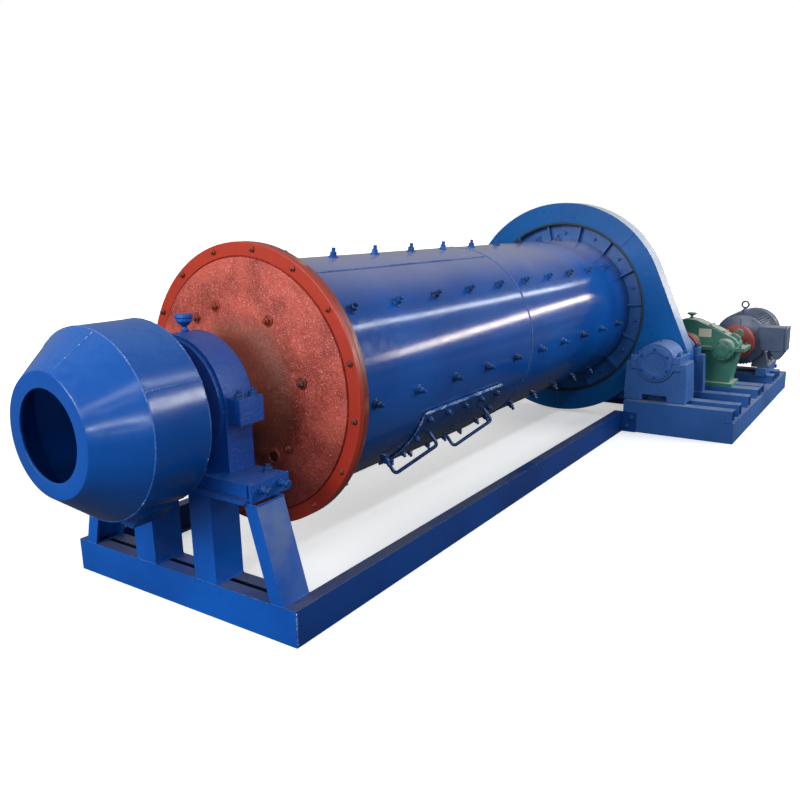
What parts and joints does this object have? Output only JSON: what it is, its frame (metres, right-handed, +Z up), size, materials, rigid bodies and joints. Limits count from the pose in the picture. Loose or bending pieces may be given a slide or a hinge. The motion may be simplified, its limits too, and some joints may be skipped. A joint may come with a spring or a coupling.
{
  "type": "ball mill",
  "caption": "Overflow ball mill: a bolted drum on two hollow trunnions in trestle bearings, turned by a ring gear, pinion, gear reducer and electric motor on a side frame.",
  "frame": {"origin": "on the ground under the mill axis, in the middle of the first cross member's lower flange at the feed end", "axes": "+X along the mill axis from the feed end to the discharge end, +Z up, the drive stands on the -Y side"},
  "size_m": [5.35, 2.0007, 1.4239],
  "materials": {
    "mill_blue": "sprayed machine enamel, semi-gloss",
    "cover_red": "red primer on a rough casting, satin",
    "coupling_red": "red enamel, satin",
    "reducer_green": "green machine enamel, semi-gloss",
    "motor_grey": "blue-grey enamel on cast iron, satin",
    "gear_casting": "painted cast steel with greased teeth",
    "shaft_steel": "turned steel, oiled"
  },
  "bodies": {
    "base": {"feed_cross_members": "mill_blue", "discharge_cross_members": "mill_blue", "long_beam_drive_side": "mill_blue", "long_beam_far_side": "mill_blue", "drive_joint_plate": "mill_blue", "feed_trestle": "mill_blue", "discharge_trestle": "mill_blue", "feed_bearing_housing": "mill_blue", "feed_bearing_cap": "mill_blue", "feed_grease_cup": "mill_blue", "feed_bearing_stops": "mill_blue", "discharge_bearing_housing": "mill_blue", "discharge_bearing_cap": "mill_blue", "discharge_grease_cup": "mill_blue", "discharge_bearing_stops": "mill_blue", "drive_frame": "mill_blue", "drive_cross_beams": "mill_blue", "pinion_housing_front": "mill_blue", "pinion_cap_front": "mill_blue", "pinion_housing_rear": "mill_blue", "pinion_cap_rear": "mill_blue", "pinion_bearing_covers": "mill_blue", "gear_guard_upper": "mill_blue", "gear_guard_lower": "mill_blue", "reducer_lower_case": "reducer_green", "reducer_upper_case": "reducer_green", "reducer_bearing_covers": "reducer_green", "reducer_breather": "reducer_green", "motor_body": "motor_grey", "motor_end_bells": "motor_grey", "motor_fan_cowl": "motor_grey", "motor_terminal_box": "motor_grey", "motor_slide_rails": "mill_blue"},
    "drum": {"feeder_shell": "mill_blue", "feeder_scoop": "mill_blue", "feed_end_cover": "cover_red", "drum_shell": "mill_blue", "shell_flanges": "mill_blue", "manhole_door": "mill_blue", "ring_gear": "gear_casting", "discharge_end_cover": "cover_red"},
    "pinion_line": {"pinion": "gear_casting", "pinion_shaft": "shaft_steel", "slow_coupling": "coupling_red", "reducer_output_shaft": "shaft_steel"},
    "motor_line": {"reducer_input_shaft": "shaft_steel", "fast_coupling": "coupling_red", "motor_shaft": "shaft_steel"}
  },
  "joints": [
    {"name": "drum_spin", "type": "hinge", "parent": "base", "child": "drum", "pos_m": [1.9295, 0, 0.72], "axis": [1, 0, 0], "continuous": true},
    {"name": "pinion_spin", "type": "hinge", "parent": "base", "child": "pinion_line", "pos_m": [3.417, -0.73872, 0.44], "axis": [1, 0, 0], "continuous": true},
    {"name": "motor_spin", "type": "hinge", "parent": "base", "child": "motor_line", "pos_m": [4.17275, -0.98372, 0.44], "axis": [1, 0, 0], "continuous": true}
  ],
  "couplings": [
    {"joint": "pinion_spin", "follows": "drum_spin", "ratio": -6.1818},
    {"joint": "motor_spin", "follows": "drum_spin", "ratio": 26.273}
  ]
}
